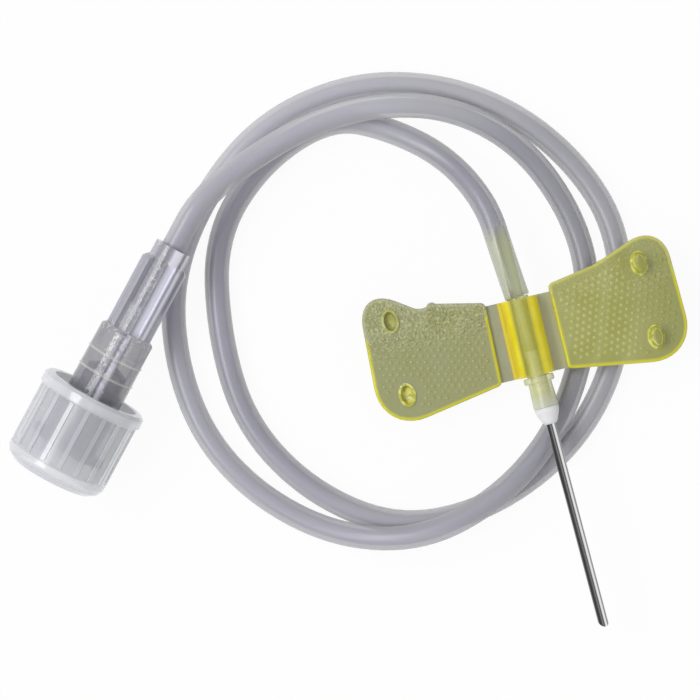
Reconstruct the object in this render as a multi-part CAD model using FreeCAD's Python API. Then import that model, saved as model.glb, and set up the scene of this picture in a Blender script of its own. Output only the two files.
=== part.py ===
import FreeCAD, Part
import math
import os

os.makedirs("parts", exist_ok=True)

# A winged infusion set, laid out flat with its tubing in two loose turns.
# Millimetres, +Z up, the table is z = 0, the needle points along -Y.

Vector = FreeCAD.Vector

# Where the saddle stands in the frame
saddle_x = 16.4
saddle_y = 5.1
needle_height = 5.15
wing_yaw = -1.6

# Needle
needle_outer = 0.9
needle_bore = 0.6
needle_exposed = 18.8
needle_buried = 5.6
needle_rear_outer = 0.87
bevel_length = 2.3
bevel_turn = 35

# White carrier that holds the needle
carrier_outer = 1.5
carrier_bullet_length = 2.2
carrier_bullet_end = 0.95
carrier_length_in_nose = 5.2
nose_cone_length = 1.55
nose_tip_outer = 1.05
carrier_gap = 0.02

# Hub: nose sleeve, collar, middle and rear spigot, all one moulding
sleeve_front_outer = 2.26
sleeve_rear_outer = 2.1
sleeve_length = 2.3
collar_outer = 2.75
collar_length = 0.55
hub_middle_outer = 1.96
spigot_outer = 1.2
spigot_length = 6.7
spigot_lead_length = 1.3
spigot_lead_outer = 0.85
hub_channel = 0.6

# Saddle: a crown over the hub, flared flanks and a thin web each side
saddle_length = 7.06
crown_outer = 2.9
flank_width = 3.5
saddle_clearance = 0.12
underside_drop = 1.65
web_thickness = 0.45
web_fold_reach = 2.5
knuckle_gap = 0.08

# Wings
wing_root = 3.05
wing_reach_top = 14.2
wing_reach_bottom = 14.62
wing_thickness = 0.9
wing_root_top = 4.0
wing_root_bottom = -3.7
wing_waist_reach = 8.2
wing_waist_top = 4.95
wing_lobe_top = 7.55
wing_lobe_bottom = -5.67
waist_radius = 7.0
lobe_top_radius = 2.4
lobe_bottom_radius = 3.6
root_radius = 0.35
wing_edge_round = 0.14

# Gate marks left on the top edges of the wings
gate_reach = 8.05
gate_radius = 0.42
gate_height = 0.5
gate_edge = 4.92

# Pegs on the right wing and the sockets that take them on the left wing
peg_reach = 11.5
peg_places = (4.15, -2.62)
peg_height = 1.5
peg_base_width = 1.4
peg_base_length = 2.1
peg_tip_width = 0.8
peg_tip_length = 1.45
peg_round = 0.2
socket_margin = 0.4
socket_floor_width = 1.05
socket_floor_length = 1.7
socket_floor_thickness = 0.22
socket_rim_width = 0.3
socket_rim_height = 0.12

# Tubing
tube_outer = 2.25
tube_bore = 1.36
tube_seat_gap = 0.16
tube_insertion = 6.0

# Connector: where its tube end stands, which way it points, and its tilt
entry_x = -12.15
entry_y = 20.88
connector_heading = 226.7
connector_tilt = 4.0

# Connector sizes, measured along its axis from the tube end
entry_collar_outer = 3.4
entry_collar_length = 1.55
tube_socket_clearance = 0.06
core_outer = 3.2
fin_count = 8
fin_outer = 4.32
fin_thickness = 0.46
fin_shoulder = 0.55
fins_end = 8.6
barrel_outer_front = 5.1
barrel_outer_mouth = 5.3
barrel_lead = 0.25
ring_places = (11.1, 12.9)
ring_width = 0.18
ring_height = 0.07
mouth_place = 20.5
luer_mouth_bore = 4.3
luer_taper = 0.06
luer_depth = 8.0
flow_bore = 1.2
lug_outer = 7.7
lug_length = 0.8
lug_width = 3.0

# Screw cap
cap_cover = 5.7
cap_length = 8.5
rim_outer = 9.9
rim_height = 1.2
rim_round = 0.28
cap_outer = 9.5
rib_count = 18
rib_height = 0.16
rib_width = 0.4
rib_foot_clearance = 1.15
end_band_height = 0.45
end_round = 0.95
lug_clearance = 0.2
cap_end_wall = 1.4
plug_length = 4.6
plug_clearance = 0.05
plug_bore = 2.4
plug_wall_end = 0.6

# The run of the tubing, corner by corner, from the saddle to the connector
tube_corners = [
    (16.4, 18.1, 5.15),
    (11.2, 25.5, 1.25),
    (4.4, 28.6, 1.125),
    (-2.8, 26.3, 1.125),
    (-8.6, 21.1, 1.125),
    (-10.5, 12.1, 1.125),
    (-9.9, 3.9, 1.125),
    (-5.9, -3.1, 1.125),
    (0.5, -8.3, 1.125),
    (8.2, -9.3, 1.125),
    (16.2, -6.6, 1.125),
    (22.0, -1.8, 1.125),
    (25.6, 4.8, 1.125),
    (26.7, 12.5, 1.125),
    (24.7, 19.0, 1.125),
    (20.7, 25.1, 1.125),
    (14.5, 29.1, 1.125),
    (6.9, 31.1, 1.125),
    (-1.4, 29.8, 1.125),
    (-8.2, 25.4, 1.125),
    (-13.2, 18.8, 1.125),
    (-14.9, 11.3, 1.125),
    (-14.2, 3.7, 1.125),
    (-10.6, -2.9, 1.125),
    (-4.6, -7.9, 1.8),
    (2.8, -10.0, 3.6),
    (10.4, -8.3, 3.5),
    (16.4, -4.3, 2.75),
    (20.7, 1.4, 1.2),
    (23.5, 8.7, 1.125),
    (23.3, 15.3, 1.25),
    (20.4, 22.3, 1.9),
    (14.9, 27.1, 3.0),
    (7.8, 29.0, 3.5),
    (0.6, 28.4, 3.6),
]
last_run_before_entry = 5.5
arc_share = 0.45


def revolved(profile):
    """Solid turned about the Z axis from (radius, height) corners."""
    points = [Vector(radius, 0, height) for radius, height in profile]
    face = Part.Face(Part.makePolygon(points + [points[0]]))
    return face.revolve(Vector(0, 0, 0), Vector(0, 0, 1), 360)


def ring(outer, inner, start, end):
    """Plain tube between two diameters and two heights on the Z axis."""
    return revolved([(inner / 2, start), (outer / 2, start), (outer / 2, end), (inner / 2, end)])


def oval(width, length, height):
    """Wire of a slot with round ends, long along Y, at a height."""
    half = width / 2
    reach = (length - width) / 2
    right = Part.LineSegment(Vector(half, -reach, height), Vector(half, reach, height))
    top = Part.Arc(Vector(half, reach, height), Vector(0, length / 2, height), Vector(-half, reach, height))
    left = Part.LineSegment(Vector(-half, reach, height), Vector(-half, -reach, height))
    bottom = Part.Arc(Vector(-half, -reach, height), Vector(0, -length / 2, height), Vector(half, -reach, height))
    return Part.Wire([edge.toShape() for edge in (right, top, left, bottom)])


def along_needle(shape):
    """Turn a shape made on the Z axis so that +Z points at the needle's tip, -Y."""
    turned = shape.copy()
    turned.rotate(Vector(0, 0, 0), Vector(1, 0, 0), 90)
    turned.translate(Vector(saddle_x, saddle_y, needle_height))
    return turned


def on_saddle(shape):
    """Place a shape made about the saddle's own centre."""
    placed = shape.copy()
    placed.rotate(Vector(0, 0, 0), Vector(0, 0, 1), wing_yaw)
    placed.translate(Vector(saddle_x, saddle_y, needle_height))
    return placed


def save(shape, name):
    shape.exportStep("parts/" + name + ".step")
    solids = len(shape.Solids)
    print(f"{name}: solids {solids} valid {shape.isValid()} volume {shape.Volume:.3f}")


# The cap's open end, along the connector
cap_start = mouth_place - cap_cover

# Distances from the saddle's centre along the needle, towards its tip
saddle_front = saddle_length / 2
collar_start = saddle_front + saddle_clearance
sleeve_start = collar_start + collar_length
sleeve_end = sleeve_start + sleeve_length
nose_end = sleeve_end + nose_cone_length
carrier_rear = sleeve_end - carrier_length_in_nose
needle_tip = nose_end + needle_exposed
needle_rear = nose_end - needle_buried


def make_needle():
    """Steel cannula, drawn in a little where it is buried, with its lancet bevel facing up and left."""
    tube = revolved(
        [
            (needle_bore / 2, needle_rear),
            (needle_rear_outer / 2, needle_rear),
            (needle_outer / 2, nose_end),
            (needle_outer / 2, needle_tip),
            (needle_bore / 2, needle_tip),
        ]
    )
    slope = math.degrees(math.atan2(needle_outer, bevel_length))
    span = 3 * bevel_length
    wedge = Part.makeBox(2 * needle_outer, span, 2 * span)
    wedge.translate(Vector(-needle_outer, 0, -2 * span))
    wedge.rotate(Vector(0, 0, 0), Vector(1, 0, 0), 180 + slope)
    wedge.translate(Vector(0, -needle_outer / 2, needle_tip))
    wedge.rotate(Vector(0, 0, 0), Vector(0, 0, 1), bevel_turn)
    return along_needle(tube.cut(wedge))


def make_carrier():
    """White insert: bullet tail, plain middle and the cone at the needle's root."""
    bore = needle_outer / 2 + carrier_gap / 2
    bullet_front = carrier_rear + carrier_bullet_length
    profile = [
        (bore, carrier_rear),
        (carrier_bullet_end / 2 + carrier_gap, carrier_rear),
        (0.88 * carrier_outer / 2, carrier_rear + carrier_bullet_length / 2),
        (carrier_outer / 2, bullet_front),
        (carrier_outer / 2, sleeve_end + carrier_gap),
        (sleeve_front_outer / 2, sleeve_end + carrier_gap),
        (0.93 * sleeve_front_outer / 2, sleeve_end + nose_cone_length / 3),
        (nose_tip_outer / 2, nose_end),
        (bore, nose_end),
    ]
    return along_needle(revolved(profile))


def make_hub():
    """Clear moulding from the nose sleeve back to the spigot inside the tubing."""
    spigot_end = -saddle_front - spigot_length
    channel = hub_channel / 2
    pocket = carrier_outer / 2 + carrier_gap
    pocket_end = carrier_rear - carrier_gap
    profile = [
        (channel, spigot_end),
        (spigot_lead_outer / 2, spigot_end),
        (spigot_outer / 2, spigot_end + spigot_lead_length),
        (spigot_outer / 2, -saddle_front - tube_seat_gap),
        (hub_middle_outer / 2, -saddle_front - tube_seat_gap),
        (hub_middle_outer / 2, collar_start),
        (collar_outer / 2, collar_start),
        (collar_outer / 2, sleeve_start),
        (sleeve_rear_outer / 2, sleeve_start),
        (sleeve_front_outer / 2, sleeve_end),
        (pocket, sleeve_end),
        (pocket, pocket_end),
        (channel, pocket_end),
    ]
    return along_needle(revolved(profile))


# Heights and reaches of the web, from the hub's axis
underside = -underside_drop
web_top = underside + web_thickness
fold_height = underside + web_thickness / 2
knuckle_radius = web_thickness / 2


def make_saddle():
    """Crown over the hub whose flanks flare into a thin web each side."""
    crown = crown_outer / 2
    foot = Vector(flank_width / 2, 0, web_top)
    reach = math.hypot(foot.x, foot.z)
    lean = math.atan2(foot.z, foot.x) + math.acos(crown / reach)
    touch = Vector(crown * math.cos(lean), 0, crown * math.sin(lean))
    web_end = web_fold_reach - knuckle_radius - knuckle_gap
    right = [
        Vector(0, 0, underside),
        Vector(web_end, 0, underside),
        Vector(web_end, 0, web_top),
        foot,
        touch,
    ]
    left = [Vector(-point.x, 0, point.z) for point in right]
    edges = [Part.LineSegment(a, b).toShape() for a, b in zip(right, right[1:])]
    edges.append(Part.Arc(right[-1], Vector(0, 0, crown), left[-1]).toShape())
    edges += [Part.LineSegment(a, b).toShape() for a, b in zip(left[::-1], left[-2::-1])]
    section = Part.Face(Part.Wire(edges))
    section.translate(Vector(0, -saddle_length / 2, 0))
    body = section.extrude(Vector(0, saddle_length, 0))
    bore_radius = hub_middle_outer / 2 + saddle_clearance
    bore = Part.makeCylinder(bore_radius, 2 * saddle_length, Vector(0, -saddle_length, 0), Vector(0, 1, 0))
    return on_saddle(body.cut(bore))


def wing_corner(solid, x, y, radius):
    """Round the upright edge of a wing that stands at one corner."""
    upright = [
        edge
        for edge in solid.Edges
        if len(edge.Vertexes) == 2
        and abs(edge.Vertexes[0].X - x) < 1e-4
        and abs(edge.Vertexes[1].X - x) < 1e-4
        and abs(edge.Vertexes[0].Y - y) < 1e-4
        and abs(edge.Vertexes[1].Y - y) < 1e-4
    ]
    return solid.makeFillet(radius, upright)


def make_wing_plate():
    """Right-hand wing: shaped plate, gate mark, web and round knuckle."""
    corners = [
        (wing_root, wing_root_bottom, root_radius),
        (wing_reach_bottom, wing_lobe_bottom, lobe_bottom_radius),
        (wing_reach_top, wing_lobe_top, lobe_top_radius),
        (wing_waist_reach, wing_waist_top, waist_radius),
        (wing_root, wing_root_top, root_radius),
    ]
    outline = [Vector(x, y, underside) for x, y, _ in corners]
    plate = Part.Face(Part.makePolygon(outline + [outline[0]])).extrude(Vector(0, 0, wing_thickness))
    for x, y, radius in corners:
        plate = wing_corner(plate, x, y, radius)
    top = underside + wing_thickness
    rims = [edge for edge in plate.Edges if all(abs(v.Z - top) < 1e-4 for v in edge.Vertexes)]
    plate = plate.makeFillet(wing_edge_round, rims)
    gate = Part.makeCylinder(gate_radius, gate_height, Vector(gate_reach, gate_edge, underside))
    web = Part.makeBox(
        wing_root + root_radius + wing_edge_round - web_fold_reach,
        saddle_length,
        web_thickness,
        Vector(web_fold_reach, -saddle_length / 2, underside),
    )
    knuckle = Part.makeCylinder(
        knuckle_radius,
        saddle_length,
        Vector(web_fold_reach, -saddle_length / 2, fold_height),
        Vector(0, 1, 0),
    )
    return plate.fuse([gate, web, knuckle]).removeSplitter()


def make_pegs():
    """Tapered oval pegs with rounded tips, standing on the wing."""
    top = underside + wing_thickness
    pegs = []
    for place in peg_places:
        foot = oval(peg_base_width, peg_base_length, top - wing_thickness / 2)
        shoulder = oval(peg_tip_width, peg_tip_length, top + peg_height)
        peg = Part.makeLoft([foot, shoulder], True)
        tip = [e for e in peg.Edges if all(abs(v.Z - top - peg_height) < 1e-4 for v in e.Vertexes)]
        peg = peg.makeFillet(peg_round, tip)
        peg.translate(Vector(peg_reach, place, 0))
        pegs.append(peg)
    return pegs


def make_right_wing():
    wing = make_wing_plate().fuse(make_pegs()).removeSplitter()
    return on_saddle(wing)


def make_left_wing():
    """Mirror of the plate, with raised oval rims round tapered blind sockets."""
    wing = make_wing_plate().mirror(Vector(0, 0, 0), Vector(1, 0, 0))
    top = underside + wing_thickness
    mouth_width = peg_base_width + socket_margin
    mouth_length = peg_base_length + socket_margin
    for place in peg_places:
        rim = Part.Face(oval(mouth_width + 2 * socket_rim_width, mouth_length + 2 * socket_rim_width, top))
        rim = rim.extrude(Vector(0, 0, socket_rim_height))
        hole = Part.makeLoft(
            [
                oval(socket_floor_width, socket_floor_length, underside + socket_floor_thickness),
                oval(mouth_width, mouth_length, top + socket_rim_height),
            ],
            True,
        )
        for shape in (rim, hole):
            shape.translate(Vector(-peg_reach, place, 0))
        wing = wing.fuse(rim).cut(hole)
    return on_saddle(wing.removeSplitter())


def connector_placement():
    """Placement that lays the Z axis along the connector, from its tube end to its cap."""
    lowest = cap_start + cap_length - end_round
    tilt = math.radians(connector_tilt)
    heading = math.radians(connector_heading)
    entry_height = lowest * math.sin(tilt) + cap_outer / 2 * math.cos(tilt)
    direction = Vector(
        math.cos(heading) * math.cos(tilt),
        math.sin(heading) * math.cos(tilt),
        -math.sin(tilt),
    )
    turn = FreeCAD.Rotation(Vector(0, 0, 1), direction)
    return FreeCAD.Placement(Vector(entry_x, entry_y, entry_height), turn), direction


def on_connector(shape):
    placed = shape.copy()
    placed.Placement = connector_placement()[0].multiply(placed.Placement)
    return placed


def luer_radius(place):
    """Radius of the female cone at a distance from the tube end."""
    return luer_mouth_bore / 2 - luer_taper / 2 * (mouth_place - place)


def make_fin():
    """One grip fin with a sloping shoulder, before it is turned round the core."""
    inner = core_outer / 2 - fin_thickness / 2
    outer = fin_outer / 2
    start = entry_collar_length - fin_shoulder / 2
    side = [
        Vector(inner, -fin_thickness / 2, start),
        Vector(core_outer / 2, -fin_thickness / 2, start),
        Vector(outer, -fin_thickness / 2, start + fin_shoulder),
        Vector(outer, -fin_thickness / 2, fins_end),
        Vector(inner, -fin_thickness / 2, fins_end),
    ]
    return Part.Face(Part.makePolygon(side + [side[0]])).extrude(Vector(0, fin_thickness, 0))


def make_connector():
    """Tube socket, finned grip, ringed barrel, female cone and two screw lugs."""
    socket = tube_outer / 2 + tube_socket_clearance
    cone_end = mouth_place - luer_depth
    flow = flow_bore / 2
    core = core_outer / 2
    profile = [
        (socket, 0),
        (entry_collar_outer / 2, 0),
        (entry_collar_outer / 2, entry_collar_length),
        (core, entry_collar_length),
        (core, fins_end),
        (barrel_outer_front / 2 - barrel_lead, fins_end),
        (barrel_outer_front / 2, fins_end + barrel_lead),
    ]
    slope = (barrel_outer_mouth - barrel_outer_front) / 2 / (mouth_place - fins_end)
    for place in ring_places:
        surface = barrel_outer_front / 2 + slope * (place - fins_end)
        profile += [
            (surface, place - ring_width / 2),
            (surface + ring_height, place - ring_width / 4),
            (surface + ring_height, place + ring_width / 4),
            (surface, place + ring_width / 2),
        ]
    profile += [
        (barrel_outer_mouth / 2, mouth_place),
        (luer_radius(mouth_place), mouth_place),
        (luer_radius(cone_end), cone_end),
        (flow, cone_end - flow),
        (flow, tube_insertion + tube_socket_clearance),
        (socket, tube_insertion + tube_socket_clearance),
    ]
    body = revolved(profile)
    fin = make_fin()
    fins = []
    for number in range(fin_count):
        turned = fin.copy()
        turned.rotate(Vector(0, 0, 0), Vector(0, 0, 1), 360 * number / fin_count)
        fins.append(turned)
    disc = ring(lug_outer, barrel_outer_mouth - barrel_lead, mouth_place - lug_length, mouth_place)
    strip = Part.makeBox(
        lug_outer,
        lug_width,
        lug_length,
        Vector(-lug_outer / 2, -lug_width / 2, mouth_place - lug_length),
    )
    return on_connector(body.fuse(fins + [disc.common(strip)]).removeSplitter())


def make_cap():
    """Ribbed screw cap with a smooth rim and a male plug that closes the cone."""
    outer = cap_outer / 2
    smooth = outer - rib_height
    rim = rim_outer / 2
    end = cap_start + cap_length
    rim_end = cap_start + rim_height
    band_start = end - end_round - end_band_height
    cavity = lug_outer / 2 + lug_clearance
    floor = end - cap_end_wall
    plug_start = floor - plug_length
    hollow = plug_bore / 2
    profile = [
        (cavity, cap_start),
        (rim - rim_round, cap_start),
        (rim, cap_start + rim_round),
        (rim, rim_end - rim_round / 2),
        (rim - rim_round / 2, rim_end),
        (smooth, rim_end),
        (smooth, band_start),
        (outer, band_start),
        (outer, end - end_round),
        (outer - 0.3 * end_round, end - 0.45 * end_round),
        (outer - end_round, end),
        (0, end),
        (0, floor - plug_length + plug_wall_end),
        (hollow, floor - plug_length + plug_wall_end),
        (hollow, plug_start),
        (luer_radius(plug_start) - plug_clearance, plug_start),
        (luer_radius(floor) - plug_clearance, floor),
        (cavity, floor),
    ]
    shell = revolved(profile)
    rib_end = band_start - rib_foot_clearance * rib_height
    ribs = []
    for number in range(rib_count):
        bar = Part.makeBox(
            rib_height + rib_width / 2,
            rib_width,
            rib_end - rim_end + rim_round / 2,
            Vector(smooth - rib_width / 2, -rib_width / 2, rim_end - rim_round / 2),
        )
        bar.rotate(Vector(0, 0, 0), Vector(0, 0, 1), 360 * number / rib_count)
        ribs.append(bar)
    sleeve = ring(cap_outer, cap_outer - 2 * rib_width, cap_start + rim_round, end - end_round)
    ribs = [bar.common(sleeve) for bar in ribs]
    return on_connector(shell.fuse(ribs).removeSplitter())


def tube_route():
    """Corners of the tubing from its seat at the saddle into the connector's socket."""
    placement, direction = connector_placement()
    entry = placement.Base
    start = Vector(saddle_x, saddle_y + saddle_length / 2 + tube_seat_gap, needle_height)
    corners = [Vector(*corner) for corner in tube_corners]
    approach = entry - direction * last_run_before_entry
    return [start] + corners + [approach, entry + direction * tube_insertion]


def rounded_path(route):
    """Straight runs joined by tangent arcs, each as large as its runs allow."""
    edges = []
    radii = []
    run_start = route[0]
    for before, corner, after in zip(route, route[1:], route[2:]):
        back = before - corner
        ahead = after - corner
        cut = arc_share * min(back.Length, ahead.Length)
        back.normalize()
        ahead.normalize()
        opening = back.getAngle(ahead)
        radius = cut * math.tan(opening / 2)
        middle = back + ahead
        middle.normalize()
        summit = corner + middle * (radius / math.sin(opening / 2) - radius)
        edges.append(Part.LineSegment(run_start, corner + back * cut).toShape())
        edges.append(Part.Arc(corner + back * cut, summit, corner + ahead * cut).toShape())
        radii.append(radius)
        run_start = corner + ahead * cut
    edges.append(Part.LineSegment(run_start, route[-1]).toShape())
    return Part.Wire(edges), radii


def make_tube():
    """Hollow tubing swept along the rounded path."""
    route = tube_route()
    path, radii = rounded_path(route)
    heading = route[1] - route[0]
    walls = []
    for diameter in (tube_outer, tube_bore):
        circle = Part.Wire(Part.makeCircle(diameter / 2, route[0], heading))
        walls.append(path.makePipeShell([circle], True, False))
    tube = walls[0].cut(walls[1])
    section = math.pi * (tube_outer**2 - tube_bore**2) / 4
    print("tube length", round(path.Length, 2), "radii", [round(radius, 1) for radius in radii])
    print("tube volume", round(tube.Volume, 2), "section times length", round(section * path.Length, 2))
    return tube


pieces = {
    "needle": make_needle(),
    "needle_carrier": make_carrier(),
    "needle_hub": make_hub(),
    "wing_saddle": make_saddle(),
    "wing_left": make_left_wing(),
    "wing_right": make_right_wing(),
    "tube": make_tube(),
    "luer_connector": make_connector(),
    "luer_cap": make_cap(),
}
for name, shape in pieces.items():
    save(shape, name)
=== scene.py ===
import math

import bmesh
import bpy
from mathutils import Matrix, Vector


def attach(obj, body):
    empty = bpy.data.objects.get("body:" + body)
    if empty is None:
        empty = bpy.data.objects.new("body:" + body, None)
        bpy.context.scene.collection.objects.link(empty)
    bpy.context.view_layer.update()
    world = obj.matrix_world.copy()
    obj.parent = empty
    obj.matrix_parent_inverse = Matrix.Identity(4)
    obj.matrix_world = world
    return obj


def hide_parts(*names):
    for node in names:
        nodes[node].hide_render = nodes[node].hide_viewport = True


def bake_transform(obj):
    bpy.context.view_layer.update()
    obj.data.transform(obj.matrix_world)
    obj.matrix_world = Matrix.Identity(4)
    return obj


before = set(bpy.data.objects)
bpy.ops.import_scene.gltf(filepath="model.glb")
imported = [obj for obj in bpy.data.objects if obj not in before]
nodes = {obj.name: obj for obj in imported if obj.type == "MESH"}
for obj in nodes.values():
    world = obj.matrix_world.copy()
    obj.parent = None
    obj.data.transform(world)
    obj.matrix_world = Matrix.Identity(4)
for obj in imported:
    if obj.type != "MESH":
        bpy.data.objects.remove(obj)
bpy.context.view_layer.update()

# Winged infusion set. All but the tubing is modelled in millimetres about the saddle, then set down.
millimetre = 0.001
weldReach = 0.0005


def selectOnly(piece):
    if bpy.context.object and bpy.context.object.mode != "OBJECT":
        bpy.ops.object.mode_set(mode="OBJECT")
    bpy.ops.object.select_all(action="DESELECT")
    piece.select_set(True)
    bpy.context.view_layer.objects.active = piece


def startPiece(name):  # names the primitive that was just added
    piece = bpy.context.object
    piece.name = name
    piece.data.name = name
    selectOnly(piece)
    return piece


def editWith(piece, kind, test):  # edit mode with only the parts that pass the test selected
    selectOnly(piece)
    bpy.ops.object.mode_set(mode="EDIT")
    bpy.ops.mesh.select_mode(type=kind)
    bpy.ops.mesh.select_all(action="DESELECT")
    shape = bmesh.from_edit_mesh(piece.data)
    parts = {"VERT": shape.verts, "EDGE": shape.edges, "FACE": shape.faces}[kind]
    for part in parts:
        if test(part):
            part.select_set(True)
    bmesh.update_edit_mesh(piece.data)


def leaveEdit():
    bpy.ops.object.mode_set(mode="OBJECT")


def middle(part):
    return sum((corner.co for corner in part.verts), Vector()) / len(part.verts)


def finishWith(piece, kind, **settings):  # adds a modifier and applies it
    selectOnly(piece)
    modifier = piece.modifiers.new(kind.title(), kind)
    for name, value in settings.items():
        setattr(modifier, name, value)
    bpy.ops.object.modifier_apply(modifier=modifier.name)


def roundEdges(piece, width, segments, sharpest):  # rounds edges that turn by more than an angle
    sharp = math.radians(sharpest)
    finishWith(piece, "BEVEL", width=width, segments=segments, limit_method="ANGLE", angle_limit=sharp)


def cutAway(piece, cutter):
    finishWith(piece, "BOOLEAN", operation="DIFFERENCE", object=cutter, solver="EXACT")
    bpy.data.objects.remove(cutter)


def tidyNormals(piece):
    editWith(piece, "VERT", lambda part: True)
    bpy.ops.mesh.remove_doubles(threshold=weldReach)
    bpy.ops.mesh.select_all(action="SELECT")
    bpy.ops.mesh.normals_make_consistent(inside=False)
    leaveEdit()


def smoothPiece(piece, angle):
    selectOnly(piece)
    bpy.ops.object.shade_smooth_by_angle(angle=math.radians(angle))


def joinPieces(first, others):
    selectOnly(first)
    for piece in others:
        piece.select_set(True)
    bpy.ops.object.join()
    return bpy.context.object


def setDown(piece, place):  # from millimetres into the frame, with its place in its mesh
    selectOnly(piece)
    piece.matrix_world = place @ Matrix.Scale(millimetre, 4) @ piece.matrix_world
    bpy.ops.object.transform_apply(location=True, rotation=True, scale=True)


def liftNext(radius, level):  # the next ring of a turned shape, from the ring that is selected
    rim = bmesh.from_edit_mesh(bpy.context.object.data)
    now = next(corner for corner in rim.verts if corner.select).co
    grown = radius / now.xy.length
    rise = level - now.z
    bpy.ops.mesh.extrude_region_move(TRANSFORM_OT_translate={"value": (0, 0, rise)})
    bpy.ops.transform.resize(value=(grown, grown, 1), center_override=(0, 0, level))


def turned(name, profile, sides=40):  # a closed solid of revolution from (radius, height) corners
    bpy.ops.mesh.primitive_circle_add(vertices=sides, radius=profile[0][0], location=(0, 0, profile[0][1]))
    bpy.ops.object.transform_apply(location=True, rotation=True, scale=True)
    shape = startPiece(name)
    editWith(shape, "EDGE", lambda part: True)
    for radius, level in profile[1:] + profile[:1]:
        liftNext(radius, level)
    leaveEdit()
    tidyNormals(shape)
    return shape


def wear(piece, *finishes):
    piece.data.materials.clear()
    for finish in finishes:
        piece.data.materials.append(finish)


class Wire:  # one socket of a node tree, with arithmetic
    def __init__(self, tree, socket=None):
        self.tree = tree
        self.socket = socket

    def add(self, kind, settings=None, sockets=None, out=0):
        node = self.tree.nodes.new(kind)
        for name, value in (settings or {}).items():
            if name == "stops":
                marks = node.color_ramp.elements
                for index, (place, colour) in enumerate(value):
                    mark = marks[index] if index < 2 else marks.new(place)
                    mark.position = place
                    mark.color = (*colour, 1.0)
            else:
                setattr(node, name, value)
        for name, value in (sockets or {}).items():
            socket = node.inputs[name]
            if isinstance(value, Wire):
                self.tree.links.new(value.socket, socket)
            else:
                socket.default_value = (*value, 1.0) if socket.type == "RGBA" and len(value) == 3 else value
        return Wire(self.tree, node.outputs[out]) if node.outputs else self

    def maths(self, operation, first, second=0.0):
        return self.add("ShaderNodeMath", {"operation": operation}, {0: first, 1: second})

    def __add__(self, other):
        return self.maths("ADD", self, other)

    def __sub__(self, other):
        return self.maths("SUBTRACT", self, other)

    def __rsub__(self, other):
        return self.maths("SUBTRACT", other, self)

    def __mul__(self, other):
        return self.maths("MULTIPLY", self, other)

    def __truediv__(self, other):
        return self.maths("DIVIDE", self, other)

    __radd__ = __add__
    __rmul__ = __mul__

    def size(self):
        return self.maths("ABSOLUTE", self)

    def least(self, other):
        return self.maths("MINIMUM", self, other)

    def most(self, other):
        return self.maths("MAXIMUM", self, other)

    def step(self, low, high):  # 0 below low and 1 above high, eased between
        settings = {"interpolation_type": "SMOOTHSTEP"}
        return self.add("ShaderNodeMapRange", settings, {"Value": self, "From Min": low, "From Max": high})

    def tint(self, low, high):  # a colour between two, by this value
        sockets = {0: self}
        for index, colour in ((6, low), (7, high)):
            sockets[index] = colour if isinstance(colour, Wire) else (*colour, 1.0)
        return self.add("ShaderNodeMix", {"data_type": "RGBA"}, sockets, out=2)

    def parts(self):
        split = self.add("ShaderNodeSeparateXYZ", None, {0: self})
        return [Wire(self.tree, socket) for socket in split.socket.node.outputs]

    def place(self, middle=(0, 0, 0), turn=(0, 0, 0)):  # object coordinates in millimetres about a point
        spot = self.add("ShaderNodeTexCoord", out=3)
        sockets = {
            "Vector": spot,
            "Location": tuple(part * millimetre for part in middle),
            "Rotation": tuple(math.radians(part) for part in turn),
            "Scale": (millimetre, millimetre, millimetre),
        }
        return self.add("ShaderNodeMapping", {"vector_type": "TEXTURE"}, sockets)

    def noise(self, vector, scale, detail=3.0, roughness=0.5):
        sockets = {"Vector": vector, "Scale": scale, "Detail": detail, "Roughness": roughness}
        return self.add("ShaderNodeTexNoise", None, sockets)

    def bump(self, height, depth):  # depth in millimetres
        sockets = {"Height": height, "Distance": depth * millimetre, "Strength": 1.0}
        return self.add("ShaderNodeBump", None, sockets)


def startFinish(name):
    material = bpy.data.materials.new(name)
    material.use_nodes = True
    material.node_tree.nodes.clear()
    return material, Wire(material.node_tree)


def endFinish(surface):
    surface.add("ShaderNodeOutputMaterial", None, {"Surface": surface})


def screen(red, green, blue):  # a colour as it looks on a screen, 0 to 255, in the shader's own numbers
    parts = (red / 255, green / 255, blue / 255)
    return tuple(part / 12.92 if part <= 0.04 else ((part + 0.055) / 1.055) ** 2.4 for part in parts)


# Where the saddle stands, in millimetres and degrees, and the way the needle points through it
saddle = {"x": 16.4, "y": 5.1, "height": 5.15, "turn": -1.6}
saddleMiddle = (saddle["x"], saddle["y"], saddle["height"])
saddleTurn = (0, 0, saddle["turn"])
atSaddle = Matrix.Translation(Vector(saddleMiddle) * millimetre)
saddlePlace = atSaddle @ Matrix.Rotation(math.radians(saddle["turn"]), 4, "Z")
needlePlace = atSaddle @ Matrix.Rotation(math.radians(90), 4, "X")

# Camera: straight above, turned as the photograph is
view = {"x": 0.7, "y": 8.03, "level": 2.5, "distance": 262.0, "width": 63.35, "turn": -14.8}
camera = bpy.data.objects.new("photoView", bpy.data.cameras.new("photoView"))
bpy.context.scene.collection.objects.link(camera)
camera.data.lens = camera.data.sensor_width * view["distance"] / view["width"]
camera.location = Vector((view["x"], view["y"], view["level"] + view["distance"])) * millimetre
camera.rotation_euler = (0, 0, math.radians(view["turn"]))
bpy.context.scene.camera = camera
print("camera set")

# Tubing, in metres. The route holds the spline's control points: the source's, moved to follow the photo
tubing = {"outer": 0.00225, "bore": 0.00136, "length": 0.291, "rounds": 5, "steps": 8}

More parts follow.
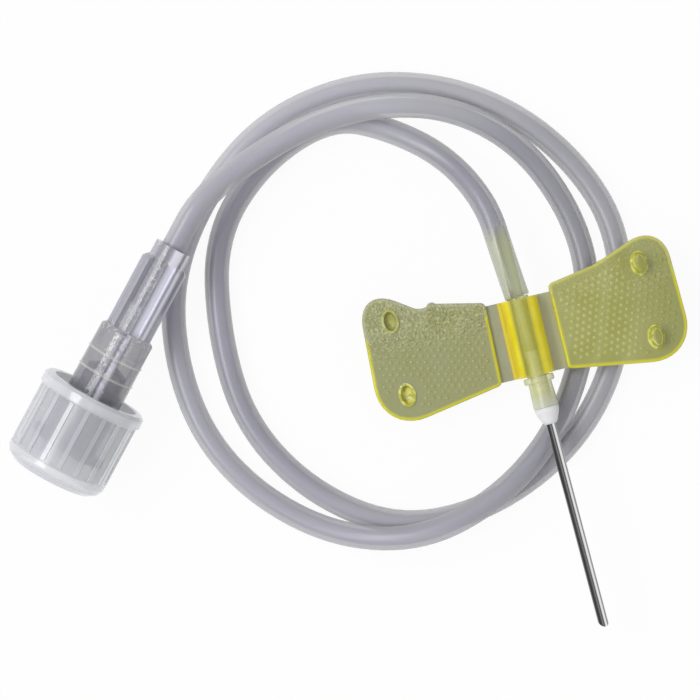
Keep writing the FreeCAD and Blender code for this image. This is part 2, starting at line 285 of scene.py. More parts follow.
# For the tubing's tints, in millimetres: the coil's middle with the squared distances between its inner
# and outer turn, over which the painted shade on the inner turn fades, and where the greenish stretch over
# the hub's spigot fades in and out
coil = {"x": 6.5, "y": 11.0, "innerTurn": 306, "outerTurn": 380}
spigot = {"start": (2.5, 3.0), "end": (8.4, 10.9), "side": (1.7, 1.9), "low": (-1.6, -1.4)}
route = [
    (0.0164, 0.00879, 0.00515),
    (0.0161, 0.0128, 0.00515),
    (0.0159, 0.0176, 0.0048),
    (0.0136, 0.0227, 0.0022),
    (0.0093, 0.0266, 0.00115),
    (0.0044, 0.029, 0.001125),
    (-0.0028, 0.0266, 0.001125),
    (-0.0086, 0.0211, 0.001125),
    (-0.0105, 0.0121, 0.001125),
    (-0.0102, 0.0039, 0.001125),
    (-0.0062, -0.0034, 0.001125),
    (0.0004, -0.0086, 0.001125),
    (0.0082, -0.0093, 0.001125),
    (0.0162, -0.0066, 0.001125),
    (0.022, -0.0018, 0.001125),
    (0.0256, 0.0048, 0.001125),
    (0.027, 0.0126, 0.001125),
    (0.025, 0.0191, 0.001125),
    (0.0207, 0.0251, 0.001125),
    (0.0145, 0.0294, 0.001125),
    (0.0069, 0.0314, 0.001125),
    (-0.0014, 0.0301, 0.001125),
    (-0.0082, 0.0254, 0.001125),
    (-0.0132, 0.0188, 0.001125),
    (-0.0149, 0.0113, 0.001125),
    (-0.0142, 0.0037, 0.001125),
    (-0.0106, -0.0029, 0.001125),
    (-0.0046, -0.0081, 0.0018),
    (0.0028, -0.0102, 0.0036),
    (0.0104, -0.0083, 0.0035),
    (0.0164, -0.0043, 0.00275),
    (0.0207, 0.0014, 0.0012),
    (0.0235, 0.0087, 0.001125),
    (0.0233, 0.0153, 0.00125),
    (0.0204, 0.0223, 0.0019),
    (0.0149, 0.0271, 0.003),
    (0.0078, 0.029, 0.0035),
    (0.0006, 0.0284, 0.0036),
    (-0.008387, 0.024873, 0.006681),
    (-0.01215, 0.02088, 0.0063),
    (-0.016255, 0.016524, 0.005879),
]


def routeCurve(points):
    line = bpy.data.curves.new("tubeRoute", "CURVE")
    line.dimensions = "3D"
    line.resolution_u = tubing["steps"]
    spline = line.splines.new("NURBS")
    spline.points.add(len(points) - 1)
    for point, spot in zip(spline.points, points):
        point.co = (*spot, 1.0)
    spline.order_u = 3
    spline.use_endpoint_u = True
    curve = bpy.data.objects.new("tubeRoute", line)
    bpy.context.scene.collection.objects.link(curve)
    return curve


def meshOf(curve, radius):
    curve.data.bevel_depth = radius
    curve.data.bevel_resolution = tubing["rounds"]
    bpy.context.view_layer.update()
    drawn = curve.evaluated_get(bpy.context.evaluated_depsgraph_get())
    return bpy.data.meshes.new_from_object(drawn)


def buildTube(wallFinish, boreFinish):
    curve = routeCurve(route)
    path = [tuple(vertex.co) for vertex in meshOf(curve, 0.0).vertices]
    walls = []
    for name, width, finish in (("tubing", "outer", wallFinish), ("tubingBore", "bore", boreFinish)):
        wall = bpy.data.objects.new(name, meshOf(curve, tubing[width] / 2))
        bpy.context.scene.collection.objects.link(wall)
        wear(wall, finish)
        walls.append(wall)
    bpy.data.objects.remove(curve)
    editWith(walls[1], "FACE", lambda part: True)
    bpy.ops.mesh.flip_normals()
    leaveEdit()
    tube = joinPieces(walls[0], walls[1:])
    for end in (path[0], path[-1]):  # close the wall's ends, outer rim to bore rim
        spot = Vector(end)
        near = tubing["outer"]
        editWith(tube, "EDGE", lambda part: part.is_boundary and (middle(part) - spot).length < near)
        bpy.ops.mesh.bridge_edge_loops()
        leaveEdit()
    for face in tube.data.polygons:
        face.use_smooth = True
    return tube, path


def overSpigot(wire):  # 1 where the tubing is pushed over the hub's rear spigot
    x, y, z = wire.place(saddleMiddle).parts()
    along = y.step(*spigot["start"]) * (1 - y.step(*spigot["end"]))
    return (1 - x.size().step(*spigot["side"])) * z.step(*spigot["low"]) * along


def milkyWall():  # painted shade on the inner turn, painted light at the top of the coil, greenish over the spigot
    material, wire = startFinish("milkyTubing")
    spot = wire.place()
    cloud = wire.noise(spot, 0.1, 1.0)
    wet = overSpigot(wire)
    x, y = spot.parts()[:2]
    fromMiddle = (x - coil["x"]) * (x - coil["x"]) + (y - coil["y"]) * (y - coil["y"])
    body = cloud.step(0.3, 0.7).tint(screen(185, 185, 191), screen(193, 193, 199))
    # painted shade on the inner turn
    body = (1 - fromMiddle.step(coil["innerTurn"], coil["outerTurn"])).tint(body, screen(168, 168, 176))
    # painted light at the top of the coil
    body = (y.step(21.0, 29.0) * 0.8).tint(body, screen(216, 216, 220))
    endFinish(wire.add("ShaderNodeBsdfPrincipled", None, {
        "Base Color": wet.tint(body, screen(184, 188, 152)),
        "Roughness": 0.3 + cloud * 0.06,
        "IOR": 1.5,
        "Alpha": 0.6 - wet * 0.1,
        "Coat Weight": 0.7,
        "Coat Roughness": 0.26,
        "Normal": wire.bump(wire.noise(spot, 1.0, 1.0), 0.006),
    }))
    return material


def milkyBore():
    material, wire = startFinish("tubingBoreWall")
    spot = wire.place()
    cloud = wire.noise(spot, 0.1, 1.0)
    x = spot.parts()[0]
    # painted shade: the bore darker towards the right, away from the lamp, with tone that differs at random
    toneAndPaintedShade = cloud.step(0.3, 0.7) * 0.3 + x.step(2.0, 22.0) * 0.7
    endFinish(wire.add("ShaderNodeBsdfPrincipled", None, {
        "Base Color": toneAndPaintedShade.tint(screen(184, 176, 220), screen(96, 90, 128)),
        "Roughness": 0.5,
        "IOR": 1.2,
        "Alpha": 0.5 - overSpigot(wire) * 0.5,
    }))
    return material


tube, tubePath = buildTube(milkyWall(), milkyBore())
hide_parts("tube")
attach(tube, "set_body")
print("tubing laid")


# Wings: a plate with rounded corners, a thin web, and sockets on the left or pegs on the right
wing = {
    "leftCorners": [
        (3.15, -3.72, 0.48),
        (14.64, -5.76, 3.5),
        (14.05, 8.08, 2.2),
        (8.85, 4.5, 1.3),
        (7.75, 4.88, 0.8),
        (3.0, 3.84, 0.48),
    ],
    "rightCorners": [
        (2.95, -3.64, 0.48),
        (14.5, -5.41, 3.4),
        (14.05, 7.54, 2.45),
        (7.4, 4.97, 5.0),
        (2.88, 4.2, 0.48),
    ],
    "underside": -1.65,
    "thickness": 0.9,
    "edgeRound": 0.2,
    "plateArea": 40,
    "glowBand": 0.46,
    "bands": (0.18, 0.24),
    "webThickness": 0.45,
    "webStart": 1.66,
    "webEnd": 3.26,
    "webLength": 7.06,
    "foldFrom": 1.85,
    "foldTo": 3.15,
    "holderReach": {-1: 11.68, 1: 11.3},
    "holderPlaces": (4.15, -2.62),
    "gates": {-1: (7.75, 4.52), 1: (8.0, 4.75)},
    "gateRadius": 0.48,
    "gateHeight": 0.5,
}
wingTop = wing["underside"] + wing["thickness"]


def roundCorner(piece, x, y, radius, toward, away):
    opening = (Vector(toward[:2]) - Vector((x, y))).angle(Vector(away[:2]) - Vector((x, y)))
    spot = Vector((x, y, wing["underside"]))
    editWith(piece, "VERT", lambda part: (part.co - spot).length < 0.01)
    bpy.ops.mesh.bevel(
        offset_type="OFFSET",
        offset=radius / math.tan(opening / 2),
        segments=4 if radius < 1 else 10,
        affect="VERTICES",
        clamp_overlap=False,
    )
    leaveEdit()


def wingSheet(name, side):  # the wing's outline as one flat face
    outlineName = "leftCorners" if side < 0 else "rightCorners"
    corners = [(side * x, y, radius) for x, y, radius in wing[outlineName]]
    bpy.ops.mesh.primitive_circle_add(vertices=len(corners), radius=20, fill_type="NGON")
    sheet = startPiece(name)
    for index, (x, y, radius) in enumerate(corners):
        start = sheet.data.vertices[index].co.copy()
        editWith(sheet, "VERT", lambda part: part.index == index)
        bpy.ops.transform.translate(value=Vector((x, y, wing["underside"])) - start)
        leaveEdit()
    for index, (x, y, radius) in enumerate(corners):
        roundCorner(sheet, x, y, radius, corners[index - 1], corners[(index + 1) % len(corners)])
    tidyNormals(sheet)
    if sheet.data.polygons[0].normal.z < 0:
        editWith(sheet, "FACE", lambda part: True)
        bpy.ops.mesh.flip_normals()
        leaveEdit()
    return sheet


def insetOf(spot, outline):  # how far a point lies from the wing's edge
    nearest = 9.0
    for start, end in zip(outline, outline[1:] + outline[:1]):
        run = end - start
        share = min(max((spot - start).dot(run) / run.length_squared, 0.0), 1.0)
        nearest = min(nearest, (spot - start - share * run).length)
    return nearest


def paintGlow(piece, outline):  # how near each point is to the wing's edge, 1 on it
    glow = piece.data.attributes.new("edgeGlow", "FLOAT", "POINT")
    for vertex, value in zip(piece.data.vertices, glow.data):
        value.value = max(0.0, 1.0 - insetOf(vertex.co.xy, outline) / wing["glowBand"])


def buildPlate(name, side):
    plate = wingSheet(name, side)
    ring = plate.data.polygons[0].vertices
    outline = [plate.data.vertices[index].co.xy.copy() for index in ring]
    for band in wing["bands"]:
        editWith(plate, "FACE", lambda part: part.calc_area() > wing["plateArea"])
        bpy.ops.mesh.inset(thickness=band, depth=0)
        leaveEdit()
    finishWith(plate, "SOLIDIFY", thickness=wing["thickness"], offset=1.0)
    roundEdges(plate, wing["edgeRound"], 3, 60)
    return plate, outline


def buildWeb(side):
    start, end = wing["webStart"], wing["webEnd"]
    bpy.ops.mesh.primitive_grid_add(x_subdivisions=16, y_subdivisions=10, size=1)
    web = startPiece("web")
    editWith(web, "VERT", lambda part: True)
    bpy.ops.transform.resize(value=(end - start, wing["webLength"], 1))
    bpy.ops.transform.translate(value=(side * (start + end) / 2, 0, wing["underside"] + 0.01))
    leaveEdit()
    finishWith(web, "SOLIDIFY", thickness=wing["webThickness"], offset=1.0)
    return web


stipple = {
    "apart": 0.62,
    "rowShare": 0.87,
    "reach": 16,
    "middle": (8.5, 0.5),
    "radius": 0.2,
    "height": 0.06,
    "margin": 0.85,
    "holderMargin": 1.5,
    "turn": 12,
}


def buildStipple(side, outline):  # rows of low domes, kept off the wing's edges and its holders
    step = stipple["apart"]
    rowStep = step * stipple["rowShare"]
    rows = round(stipple["reach"] / step)
    bpy.ops.mesh.primitive_uv_sphere_add(segments=8, ring_count=6, radius=stipple["radius"])
    dots = startPiece("stipple")
    editWith(dots, "VERT", lambda part: part.co.z < -0.01)
    bpy.ops.mesh.delete(type="VERT")
    bpy.ops.mesh.select_all(action="SELECT")
    bpy.ops.transform.resize(value=(1, 1, stipple["height"] / stipple["radius"]), center_override=(0, 0, 0))
    leaveEdit()
    for shift in ((step, 0, 0), (step / 2, rowStep, 0)):
        finishWith(
            dots, "ARRAY", count=rows, use_relative_offset=False, use_constant_offset=True,
            constant_offset_displace=shift,
        )
    turn = math.radians(side * stipple["turn"])
    x, y = stipple["middle"]
    toMiddle = Vector(((rows - 1) * step * 0.75, (rows - 1) * rowStep / 2, 0))
    start = Vector((side * x, y, wingTop)) - Matrix.Rotation(turn, 3, "Z") @ toMiddle
    dots.matrix_world = Matrix.Translation(start) @ Matrix.Rotation(turn, 4, "Z")
    bpy.ops.object.transform_apply(location=True, rotation=True, scale=True)
    holders = [Vector((side * wing["holderReach"][side], place)) for place in wing["holderPlaces"]]
    edge = [tuple(spot) for spot in outline]

    def inWing(spot):  # the even and odd rule along +X
        crossings = 0
        for (x1, y1), (x2, y2) in zip(edge, edge[1:] + edge[:1]):
            if (y1 > spot.y) != (y2 > spot.y) and spot.x < x1 + (spot.y - y1) * (x2 - x1) / (y2 - y1):
                crossings += 1
        return crossings % 2 == 1

    def stray(part):  # by the middle of the dome that the corner belongs to
        across = Matrix.Rotation(-turn, 2) @ (part.co.xy - start.xy)
        row = round(across.y / rowStep)
        column = round((across.x - row * step / 2) / step)
        fromStart = Vector((column * step + row * step / 2, row * rowStep))
        centre = start.xy + Matrix.Rotation(turn, 2) @ fromStart
        nearHolder = min((centre - holder).length for holder in holders) < stipple["holderMargin"]
        return nearHolder or not inWing(centre) or insetOf(centre, outline) < stipple["margin"]

    editWith(dots, "VERT", stray)
    bpy.ops.mesh.delete(type="VERT")
    leaveEdit()
    return dots


def buildGate(side):
    x, y = wing["gates"][side]
    bpy.ops.mesh.primitive_cylinder_add(
        vertices=24, radius=wing["gateRadius"], depth=wing["gateHeight"],
        location=(side * x, y, wing["underside"] + wing["gateHeight"] / 2),
    )
    bpy.ops.object.transform_apply(location=True, rotation=True, scale=True)
    gate = startPiece("gate")
    roundEdges(gate, 0.08, 2, 60)
    return gate


# Holders: sockets on the left wing and the pegs that fit them on the right
socket = {"mouthWidth": 1.16, "mouthLength": 1.8, "floorWidth": 0.85, "floorLength": 1.4, "floor": 0.22}
socketRim = {"wide": 0.22, "up": 0.14, "overlap": 0.05}
peg = {"width": 1.4, "length": 2.1, "tipWidth": 0.8, "tipLength": 1.45, "height": 1.5, "round": 0.2}
pegFoot = {"wide": 0.14, "up": 0.16}


def ovalBlock(name, foot, top, low, high, spot):  # a tapered oval block between two heights
    bpy.ops.mesh.primitive_cylinder_add(vertices=32, radius=0.5, depth=1)
    block = startPiece(name)
    for level, (width, length), height in ((-0.5, foot, low), (0.5, top, high)):
        editWith(block, "VERT", lambda part: abs(part.co.z - level) < 0.01)
        bpy.ops.transform.resize(value=(width, length, 1), center_override=(0, 0, level))
        bpy.ops.transform.translate(value=(spot[0], spot[1], height - level))
        leaveEdit()
    return block


def widen(pair, extra):
    return [part + extra for part in pair]


def buildSockets(plate, side):  # blind oval sockets, each with a bright wall and rim
    rims = []
    mouth = (socket["mouthWidth"], socket["mouthLength"])
    floor = (socket["floorWidth"], socket["floorLength"])
    low = wing["underside"] + socket["floor"]
    high = wingTop + socketRim["up"]
    for place in wing["holderPlaces"]:
        spot = (side * wing["holderReach"][side], place)
        wide = 2 * socketRim["wide"]
        collar = ovalBlock("rim", widen(floor, wide), widen(mouth, wide), low, high, spot)
        roundEdges(collar, 0.07, 3, 60)
        cutAway(collar, ovalBlock("hole", floor, mouth, low + 0.12, high + 0.02, spot))
        more = socketRim["overlap"]
        cutAway(plate, ovalBlock("room", widen(floor, more), widen(mouth, more), low, high, spot))
        rims.append(collar)
    return rims


def buildPegs(side):
    pegs = []
    foot = (peg["width"], peg["length"])
    tip = (peg["tipWidth"], peg["tipLength"])
    wideFoot = widen(foot, 2 * pegFoot["wide"])
    for place in wing["holderPlaces"]:
        spot = (side * wing["holderReach"][side], place)
        post = ovalBlock("peg", foot, tip, wingTop - 0.05, wingTop + peg["height"], spot)
        editWith(post, "FACE", lambda part: part.normal.z > 0.9)
        bpy.ops.mesh.bevel(offset=peg["round"], segments=4, affect="EDGES")
        leaveEdit()
        around = ovalBlock("pegFoot", wideFoot, foot, wingTop - 0.02, wingTop + pegFoot["up"], spot)
        roundEdges(around, 0.06, 3, 40)
        pegs += [post, around]
    return pegs


def wingFinish(name, low, high):  # painted glow along the edges, worn and creased towards the upper edge, with painted glints there
    material, wire = startFinish(name)
    spot = wire.place(saddleMiddle, saddleTurn)
    x, y = spot.parts()[:2]
    glow = wire.add("ShaderNodeAttribute", {"attribute_name": "edgeGlow"}, out=2)
    grain = wire.noise(spot, 1.8, 3.0, 0.6)
    crease = wire.noise(spot, 0.55, 4.0, 0.65)
    fleckAndGlint = wire.noise(spot, 4.2, 2.0, 0.6)
    left = 1 - x.step(-1.0, 1.0)
    upper = y.step(2.2, 3.6)
    wornAndGlinting = y.step(0.0, 3.0) * (0.35 + left * 0.65)
    cloud = wire.noise(spot, 0.3, 2.0)
    body = cloud.step(0.35, 0.65).tint(low, high)
    # the left wing painted greyer and darker, as painted shade
    body = left.tint(body, (cloud * 0.3 + 0.34).tint(body, screen(146, 148, 118)))
    body = (x.step(7.0, 14.0) * 0.75).tint(body, screen(150, 152, 76))
    # towards the upper edge: lighter creases, painted glints on the flecks, and darker specks
    body = (wornAndGlinting * crease.step(0.5, 0.62) * 0.25).tint(body, screen(196, 198, 150))
    body = (wornAndGlinting * fleckAndGlint.step(0.53, 0.62) * 0.55).tint(body, screen(226, 228, 150))
    body = (wornAndGlinting * (1 - fleckAndGlint.step(0.34, 0.44)) * 0.2).tint(body, screen(120, 124, 70))
    # painted glow along the edges, and a painted highlight in its place along the upper edge
    edge = (upper * (0.4 + left * 0.6)).tint(screen(219, 214, 42), screen(190, 191, 150))
    body = glow.step(0.06, 0.72).tint(body, edge)
    endFinish(wire.add("ShaderNodeBsdfPrincipled", None, {
        "Base Color": body,
        "Roughness": 0.14 + grain * 0.16,
        "IOR": 1.5,
        "Alpha": 0.8 + glow * 0.18,
        "Normal": wire.bump(grain * 0.4 + wornAndGlinting * (crease * 2.2 + fleckAndGlint), 0.2),
    }))
    return material


def webFinish():  # greyish, painted lighter on the right against the crown's shadow, and yellow where the left web meets the crown
    material, wire = startFinish("thinWeb")
    spot = wire.place(saddleMiddle, saddleTurn)
    x = spot.parts()[0]
    haze = wire.noise(spot, 1.2, 2.0)
    body = haze.step(0.3, 0.7).tint(screen(162, 164, 134), screen(168, 170, 141))
    # painted light: the right web lighter, against the crown's shadow
    body = x.step(0.0, 1.0).tint(body, screen(196, 197, 156))
    yellow = (1 - x.step(0.0, 0.1)).tint(body, screen(238, 216, 30))
    endFinish(wire.add("ShaderNodeBsdfPrincipled", None, {
        "Base Color": x.step(-2.05, -1.9).tint(body, yellow),
        "Roughness": 0.3,
        "IOR": 1.45,
        "Alpha": 0.8,
        "Normal": wire.bump(haze, 0.01),
    }))
    return material


def holderFinish():  # sockets and pegs: walls painted bright as a glow, with the pegs' tips as dull as the plate
    material, wire = startFinish("holderPaintedGlow")
    spot = wire.place(saddleMiddle, saddleTurn)
    x, y, z = spot.parts()
    haze = wire.noise(spot, 1.5, 2.0)
    tip = z.step(0.6, 0.74)
    # painted glow on the walls, with painted pale glints, fainter at the upper left socket
    bright = haze.step(0.42, 0.58).tint(screen(196, 196, 72), screen(240, 238, 128))
    bright = (wire.noise(spot, 2.2, 2.0, 0.6).step(0.6, 0.68) * 0.8).tint(bright, screen(250, 250, 226))
    faint = (1 - x.step(-2.0, -1.0)) * y.step(0.0, 1.0)
    bright = (faint * 0.6).tint(bright, screen(176, 178, 116))
    endFinish(wire.add("ShaderNodeBsdfPrincipled", None, {
        "Base Color": tip.tint(bright, screen(166, 168, 88)),
        "Roughness": 0.15,
        "IOR": 1.5,
        "Alpha": 0.85 - tip * 0.15,
        "Normal": wire.bump(haze, 0.06),
    }))
    return material


plateFinish = wingFinish("stippledWing", screen(171, 173, 94), screen(178, 180, 108))
# the domes are painted lighter than the plate, as painted highlight on them
dotFinish = wingFinish("stippleDots", screen(190, 193, 104), screen(202, 205, 122))
thinWeb = webFinish()
holderPaintedGlow = holderFinish()
for side, name, body in ((-1, "leftWing", "left_wing"), (1, "rightWing", "right_wing")):
    plate, outline = buildPlate(name, side)
    extras = buildSockets(plate, side) if side < 0 else buildPegs(side)
    gate = buildGate(side)
    for edged in (plate, gate):
        wear(edged, plateFinish)
        paintGlow(edged, outline)
    web = buildWeb(side)
    wear(web, thinWeb)
    dots = buildStipple(side, outline)
    wear(dots, dotFinish)
    for extra in extras:
        wear(extra, holderPaintedGlow)
    whole = joinPieces(plate, [gate, web, dots] + extras)
    smoothPiece(whole, 40)
    setDown(whole, saddlePlace)
    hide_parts("wing_left" if side < 0 else "wing_right")
    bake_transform(whole)
print("wings folded flat")


# Saddle: a crown over the hub, bored through
crown = {
    "footWidth": 3.5,
    "topWidth": 3.0,
    "top": 1.45,
    "length": 7.06,
    "bore": 2.2,
    "round": 1.32,
    "clearShift": 0.18,
}


def buildCrown():
    bpy.ops.mesh.primitive_cube_add(size=1)
    block = startPiece("saddleCrown")
    tall = crown["top"] - wing["underside"]
    editWith(block, "VERT", lambda part: True)
    bpy.ops.transform.resize(value=(crown["footWidth"], crown["length"], tall))
    bpy.ops.transform.translate(value=(0, 0, wing["underside"] + tall / 2))
    leaveEdit()
    editWith(block, "VERT", lambda part: part.co.z > 0)
    bpy.ops.transform.resize(value=(crown["topWidth"] / crown["footWidth"], 1, 1))
    leaveEdit()

    def shoulder(part):  # the two long edges on top
        x, y, z = middle(part)
        return z > 1 and abs(x) > 1 and abs(y) < 1

    editWith(block, "EDGE", shoulder)
    bpy.ops.mesh.bevel(offset=crown["round"], segments=10, affect="EDGES", clamp_overlap=False)
    leaveEdit()
    roundEdges(block, 0.06, 2, 50)
    bpy.ops.mesh.primitive_cylinder_add(
        vertices=48, radius=crown["bore"] / 2, depth=2 * crown["length"], rotation=(math.pi / 2, 0, 0)
    )
    cutAway(block, startPiece("bore"))
    smoothPiece(block, 40)
    setDown(block, saddlePlace)
    return block


def crownFinish():
    material, wire = startFinish("saddleYellow")
    spot = wire.place(saddleMiddle, saddleTurn)
    x, y, z = spot.parts()
    flank = (x + crown["clearShift"]).size().step(0.6, 1.1)
    low = 1 - z.step(-0.9, -0.3)
    haze = wire.noise(spot, 0.7, 1.0)
    clear = haze.step(0.3, 0.7).tint(screen(240, 237, 96), screen(245, 243, 112))
    solid = haze.step(0.3, 0.7).tint(screen(240, 219, 20), screen(247, 231, 44))
    endFinish(wire.add("ShaderNodeBsdfPrincipled", None, {
        "Base Color": flank.tint(clear, solid),
        "Roughness": 0.2,
        "IOR": 1.48,
        "Alpha": (0.2 + flank * 0.78 + low * 0.7).least(0.98),
        "Normal": wire.bump(haze, 0.01),
    }))
    return material


saddleCrown = buildCrown()
wear(saddleCrown, crownFinish())
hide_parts("wing_saddle")
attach(saddleCrown, "set_body")
print("saddle crowned")


# Hub and carrier, turned about the needle. Distances run from the saddle's middle towards the tip
hub = {
    "profile": [
        (0.3, -10.23),
        (0.42, -10.23),
        (0.5, -9.9),
        (0.6, -8.9),
        (0.6, -3.69),
        (0.98, -3.69),
        (0.98, 3.65),
        (1.3, 3.65),
        (1.38, 3.72),
        (1.38, 4.12),
        (1.3, 4.2),
        (1.06, 4.22),
        (1.06, 4.6),
        (1.09, 5.2),
        (1.13, 6.0),
        (1.13, 6.5),
        (0.77, 6.5),
        (0.77, 1.28),
        (0.3, 1.28),
    ],
}
carrier = {
    "profile": [
        (0.46, 1.3),
        (0.5, 1.3),
        (0.6, 1.7),
        (0.68, 2.4),
        (0.73, 3.0),
        (0.75, 3.5),
        (0.75, 6.52),
        (1.13, 6.52),
        (1.1, 6.8),
        (1.02, 7.1),
        (0.9, 7.4),
        (0.74, 7.75),
        (0.6, 7.98),
        (0.5, 8.05),
        (0.46, 8.05),
    ],
}


def hubFinish():  # paler at the nose, with painted shade on the left and a painted highlight on the right at the rear, and the flow channel showing
    material, wire = startFinish("hubPaleYellow")
    spot = wire.place(saddleMiddle)
    x, y, z = spot.parts()
    haze = wire.noise(spot, 0.6, 1.0)
    rim = wire.add("ShaderNodeLayerWeight", None, {"Blend": 0.35}, out=1)
    channel = 1 - (x * x + z * z).step(0.11, 0.16)
    nose = 1 - y.step(-6.4, -4.4)
    rear = y.step(3.0, 4.0)
    body = haze.step(0.3, 0.7).tint(screen(224, 224, 136), screen(230, 231, 150))
    body = nose.tint(body, screen(226, 229, 208))
    # painted shade on the rear's left side and a painted highlight on its right
    body = rear.tint(body, x.step(-0.35, 0.2).tint(screen(134, 137, 108), screen(244, 248, 212)))
    body = (rim.step(0.35, 0.9) * 0.7).tint(body, screen(160, 168, 44))
    body = channel.tint(body, screen(222, 222, 170))
    endFinish(wire.add("ShaderNodeBsdfPrincipled", None, {
        "Base Color": body,
        "Roughness": 0.15,
        "IOR": 1.5,
        "Alpha": (0.24 + rim * 0.7 + nose * 0.35 + channel * 0.3 + rear * 0.5).least(0.97),
        "Normal": wire.bump(haze, 0.01),
    }))
    return material


def whiteFinish():
    material, wire = startFinish("carrierWhite")
    haze = wire.noise(wire.place(), 0.8, 1.0)
    endFinish(wire.add("ShaderNodeBsdfPrincipled", None, {
        "Base Color": haze.step(0.3, 0.7).tint(screen(236, 236, 236), screen(242, 242, 243)),
        "Roughness": 0.32,
        "Subsurface Weight": 0.3,
        "Subsurface Scale": 0.0006,
        "Normal": wire.bump(haze, 0.005),
    }))
    return material


for name, sizes, finish, node, slot in (
    ("hubBody", hub, hubFinish(), "needle_hub", "hub_plastic"),
    ("needleCarrier", carrier, whiteFinish(), "needle_carrier", "white_plastic"),
):
    body = turned(name, sizes["profile"])
    wear(body, finish)
    smoothPiece(body, 32)
    setDown(body, needlePlace)
    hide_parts(node)
    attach(body, "set_body")
print("hub and carrier turned")


# Needle, a steel tube whose ground bevel faces down, so that it tapers as seen from above
steel = {
    "width": 0.9,
    "profile": [(0.3, 2.45), (0.435, 2.45), (0.45, 8.05), (0.45, 26.85), (0.3, 26.85)],
    "bevel": 1.9,
    "bevelTurn": 7.5,
    "bluntness": 0.03,
    "shades": [
        (0.0, 176), (0.08, 84), (0.16, 52), (0.34, 38), (0.44, 112), (0.55, 60), (0.64, 226), (0.78, 236),
        (0.86, 110), (1.0, 190),
    ],
}


def steelFinish():  # painted reflections: light and dark streaks along the needle, as bright steel mirrors its surroundings
    material, wire = startFinish("needleSteel")
    spot = wire.place(saddleMiddle)
    x = spot.parts()[0]
    stretched = wire.add("ShaderNodeMapping", None, {"Vector": spot, "Scale": (14, 0.12, 14)})
    drawn = wire.noise(stretched, 1.0, 3.0)
    across = x / steel["width"] + 0.5 + (drawn - 0.5) * 0.06
    shades = [(place, screen(shade, shade, shade)) for place, shade in steel["shades"]]
    paintedReflections = wire.add("ShaderNodeValToRGB", {"stops": shades}, {"Fac": across})
    endFinish(wire.add("ShaderNodeBsdfPrincipled", None, {
        "Base Color": paintedReflections,
        "Metallic": 0.85,
        "Roughness": 0.28 + drawn * 0.1,
        "Normal": wire.bump(drawn, 0.003),
    }))
    return material


def groundNeedle():
    body = turned("needleBody", steel["profile"], 48)
    outer, tip = steel["profile"][3]
    turn = math.radians(steel["bevelTurn"])
    toTip = Vector((math.sin(turn), math.cos(turn), 0))
    editWith(body, "VERT", lambda part: False)
    bpy.ops.mesh.select_all(action="SELECT")
    bpy.ops.mesh.bisect(
        plane_co=toTip * outer + Vector((0, 0, tip - steel["bluntness"])),
        plane_no=Vector((0, 0, 1)) - toTip * steel["bevel"] / (2 * outer),
        clear_outer=True,
    )
    leaveEdit()
    editWith(body, "EDGE", lambda part: part.is_boundary)
    bpy.ops.mesh.bridge_edge_loops()
    leaveEdit()
    tidyNormals(body)
    return body


needleBody = groundNeedle()
wear(needleBody, steelFinish())
smoothPiece(needleBody, 32)
setDown(needleBody, needlePlace)
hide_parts("needle")
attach(needleBody, "set_body")
print("needle ground")


# Connector and cap, which keep their own solids. The entry is the connector's tube end, and the streaks are
# painted reflections and refractions: how light or dark its mouldings look across their width
connector = {
    "entry": (-12.15, 20.88, 6.3),
    "turn": (0, 4.0, 226.7),
    "finsEnd": 8.6,
    "finWidth": 4.4,
    "barrelWidth": 5.3,
    "rings": (11.1, 12.9),
    "capStart": 14.8,
    "capEnd": 23.3,
    "finReflections": [
        (0.0, 200), (0.1, 168), (0.2, 178), (0.3, 160), (0.38, 176), (0.48, 150), (0.56, 176), (0.62, 236),
        (0.74, 250), (0.8, 150), (0.85, 244), (0.92, 160), (1.0, 236),
    ],
    "barrelReflections": [
        (0.0, 190), (0.05, 148), (0.3, 158), (0.4, 146), (0.46, 216), (0.5, 124), (0.54, 240), (0.6, 226),
        (0.65, 140), (0.84, 152), (1.0, 190),
    ],
}


def paintedReflections(wire, name, across, level):
    shades = []
    for place, shade in connector[name]:
        shade = min(shade * level, 244)
        shades.append((place, screen(shade * 0.985, shade * 0.98, shade * 1.04)))
    return wire.add("ShaderNodeValToRGB", {"stops": shades}, {"Fac": across})


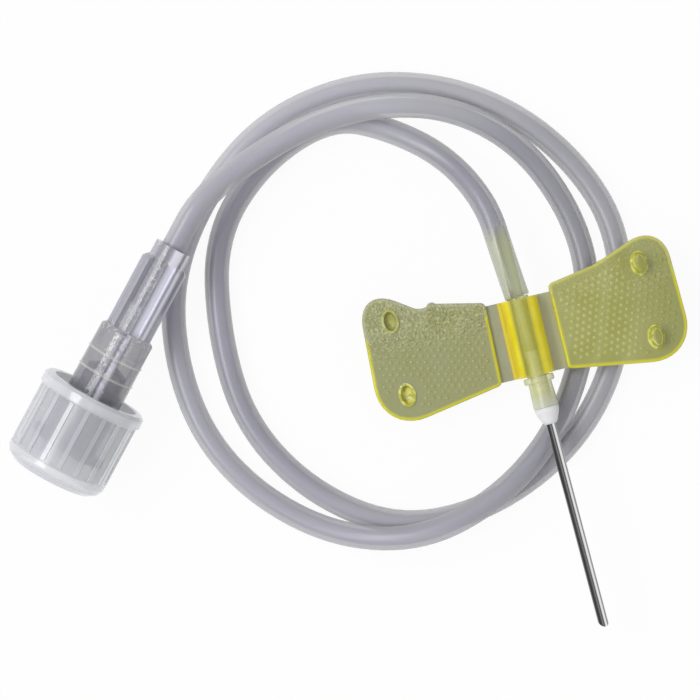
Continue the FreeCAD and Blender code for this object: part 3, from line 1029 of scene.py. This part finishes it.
def clearFinish():
    material, wire = startFinish("connectorClear")
    spot = wire.place(connector["entry"], connector["turn"])
    along, across, up = spot.parts()
    haze = wire.noise(spot, 0.5, 2.0)
    sparkle = wire.noise(spot, 2.6, 3.0, 0.7)
    rim = wire.add("ShaderNodeLayerWeight", None, {"Blend": 0.3}, out=1)
    barrel = along.step(connector["finsEnd"] - 0.1, connector["finsEnd"] + 0.1)
    fins = paintedReflections(wire, "finReflections", 0.5 + across / connector["finWidth"], 1.08)
    overBarrel = 0.5 + across / connector["barrelWidth"] + (sparkle - 0.5) * 0.05
    block = paintedReflections(wire, "barrelReflections", overBarrel, 0.93)
    body = barrel.tint(fins, block)
    clear = body.parts()[0].step(0.35, 0.8)
    paintedShadePatches = wire.noise(spot, 0.9, 2.0, 0.6)
    # painted shadow of the rings, in patches on the barrel
    body = ((1 - paintedShadePatches.step(0.36, 0.5)) * barrel * 0.5).tint(body, screen(126, 122, 146))
    ringHighlight = 0
    # painted highlights along the ring steps
    for ringPlace in connector["rings"]:
        ringHighlight = (1 - (along - ringPlace).size().step(0.05, 0.16)) + ringHighlight
    body = (ringHighlight * 0.8).tint(body, screen(222, 219, 208))
    # painted glints near the ends and along the middle
    ends = (1 - along.step(0.4, 1.8)) + (1 - (along - connector["finsEnd"]).size().step(0.2, 1.0))
    glint = ends.most(1 - across.size().step(0.4, 1.2))
    body = (sparkle.step(0.54, 0.64) * glint * 0.75).tint(body, screen(238, 238, 236))
    # painted reflection: lighter towards the rim
    endFinish(wire.add("ShaderNodeBsdfPrincipled", None, {
        "Base Color": rim.step(0.5, 1.0).tint(body, screen(226, 228, 232)),
        "Roughness": 0.08 + haze * 0.06,
        "IOR": 1.5,
        "Alpha": (0.56 + clear * 0.36 + rim * 0.25).least(1.0),
        "Coat Weight": 0.5,
        "Coat Roughness": 0.05,
        "Normal": wire.bump(sparkle * 0.3 + haze, 0.02),
    }))
    return material


def capFinish():
    material, wire = startFinish("capMilky")
    spot = wire.place(connector["entry"], connector["turn"])
    along, across, up = spot.parts()
    haze = wire.noise(spot, 0.35, 2.0)
    rib = (across * across + up * up).step(21.2, 22.2)
    body = haze.step(0.3, 0.7).tint(screen(208, 211, 219), screen(218, 221, 226))
    mouth = 1 - along.step(connector["capStart"] + 0.8, connector["capStart"] + 1.3)
    body = mouth.tint(body, screen(228, 230, 237))
    body = along.step(connector["capEnd"] - 1.1, connector["capEnd"] - 0.3).tint(body, screen(166, 164, 186))
    endFinish(wire.add("ShaderNodeBsdfPrincipled", None, {
        "Base Color": (rib * 0.4).tint(body, screen(232, 235, 240)),
        "Roughness": 0.16,
        "IOR": 1.5,
        "Alpha": 0.42 + rib * 0.1 + mouth * 0.12,
        "Coat Weight": 1.0,
        "Coat Roughness": 0.16,
        "Normal": wire.bump(haze, 0.02),
    }))
    return material


wear(nodes["luer_connector"], clearFinish())
wear(nodes["luer_cap"], capFinish())
print("solids finished")


# Studio: white floor that keeps a trace of shadow, white surroundings and one soft lamp
studio = {
    "floor": 3.0,
    "ownLight": 0.94,
    "sky": 0.5,
    "keyPlace": (-0.36, 0.13, 0.6),
    "keyPower": 2.8,
    "keyLong": 0.6,
    "keyDeep": 0.25,
}


def softLamp(name, spot, long, deep, power):
    lamp = bpy.data.objects.new(name, bpy.data.lights.new(name, "AREA"))
    bpy.context.scene.collection.objects.link(lamp)
    lamp.data.shape = "RECTANGLE"
    lamp.data.size = long
    lamp.data.size_y = deep
    lamp.data.energy = power
    lamp.location = spot
    lamp.rotation_euler = (-Vector(spot)).to_track_quat("-Z", "Y").to_euler()


def seenRays(wire):  # 1 for rays that the picture shows, straight, mirrored or through clear plastic
    kinds = ("Is Camera Ray", "Is Glossy Ray", "Is Transmission Ray")
    seen, mirrored, through = (wire.add("ShaderNodeLightPath", out=kind) for kind in kinds)
    return (seen + mirrored + through).least(1.0)


def floorFinish():
    material, wire = startFinish("whiteFloor")
    dull = wire.add("ShaderNodeBsdfDiffuse", None, {"Color": (0.92, 0.92, 0.92, 1.0)})
    bright = wire.add("ShaderNodeEmission", None, {"Color": (1.0, 1.0, 1.0, 1.0)})
    glowing = seenRays(wire) * studio["ownLight"]
    endFinish(wire.add("ShaderNodeMixShader", None, {0: glowing, 1: dull, 2: bright}))
    return material


bpy.ops.mesh.primitive_plane_add(size=studio["floor"])
floor = startPiece("floor")
wear(floor, floorFinish())

world = bpy.data.worlds.new("studio")
world.use_nodes = True
world.node_tree.nodes.clear()
bpy.context.scene.world = world
air = Wire(world.node_tree)
soft = air.add("ShaderNodeBackground", None, {"Color": (1.0, 1.0, 1.0, 1.0), "Strength": studio["sky"]})
white = air.add("ShaderNodeBackground", None, {"Color": (1.0, 1.0, 1.0, 1.0), "Strength": 1.0})
mixed = air.add("ShaderNodeMixShader", None, {0: seenRays(air), 1: soft, 2: white})
air.add("ShaderNodeOutputWorld", None, {"Surface": mixed})
softLamp("keyLamp", studio["keyPlace"], studio["keyLong"], studio["keyDeep"], studio["keyPower"])
bpy.context.scene.view_settings.view_transform = "Standard"
print("studio lit")
